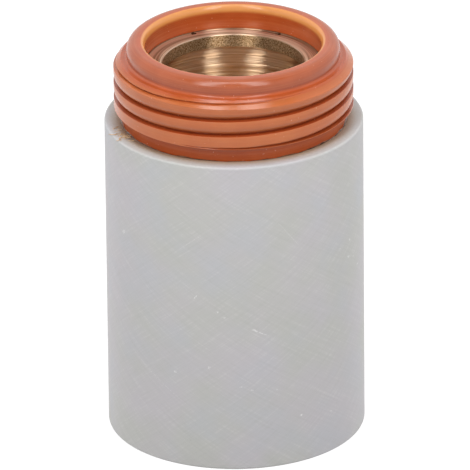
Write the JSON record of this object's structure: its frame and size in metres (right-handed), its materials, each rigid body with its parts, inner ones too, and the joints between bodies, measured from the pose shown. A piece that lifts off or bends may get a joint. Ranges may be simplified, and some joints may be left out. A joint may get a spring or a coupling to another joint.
{
  "type": "plasma torch retaining cap",
  "caption": "Tubular retaining cap: grey insulating sleeve, threaded orange insulator ring at the front and a brass liner with a lipped opening.",
  "frame": {"origin": "centre of the rear face, on which the cap stands", "axes": "+Z along the cap's axis towards the front opening; one gas hole lies 2.3 degrees clockwise of +X, seen from the front; -Y is the side that the picture shows"},
  "size_m": [0.032, 0.032, 0.051],
  "materials": {
    "glass_fibre_tube": "satin, ground glass-fibre laminate",
    "orange_insulator": "semi-gloss, machined",
    "turned_brass": "turned, lightly bead blasted at the lip"
  },
  "bodies": {
    "root": {"outer_sleeve": "glass_fibre_tube", "threaded_insulator": "orange_insulator", "brass_liner": "turned_brass"}
  },
  "joints": []
}
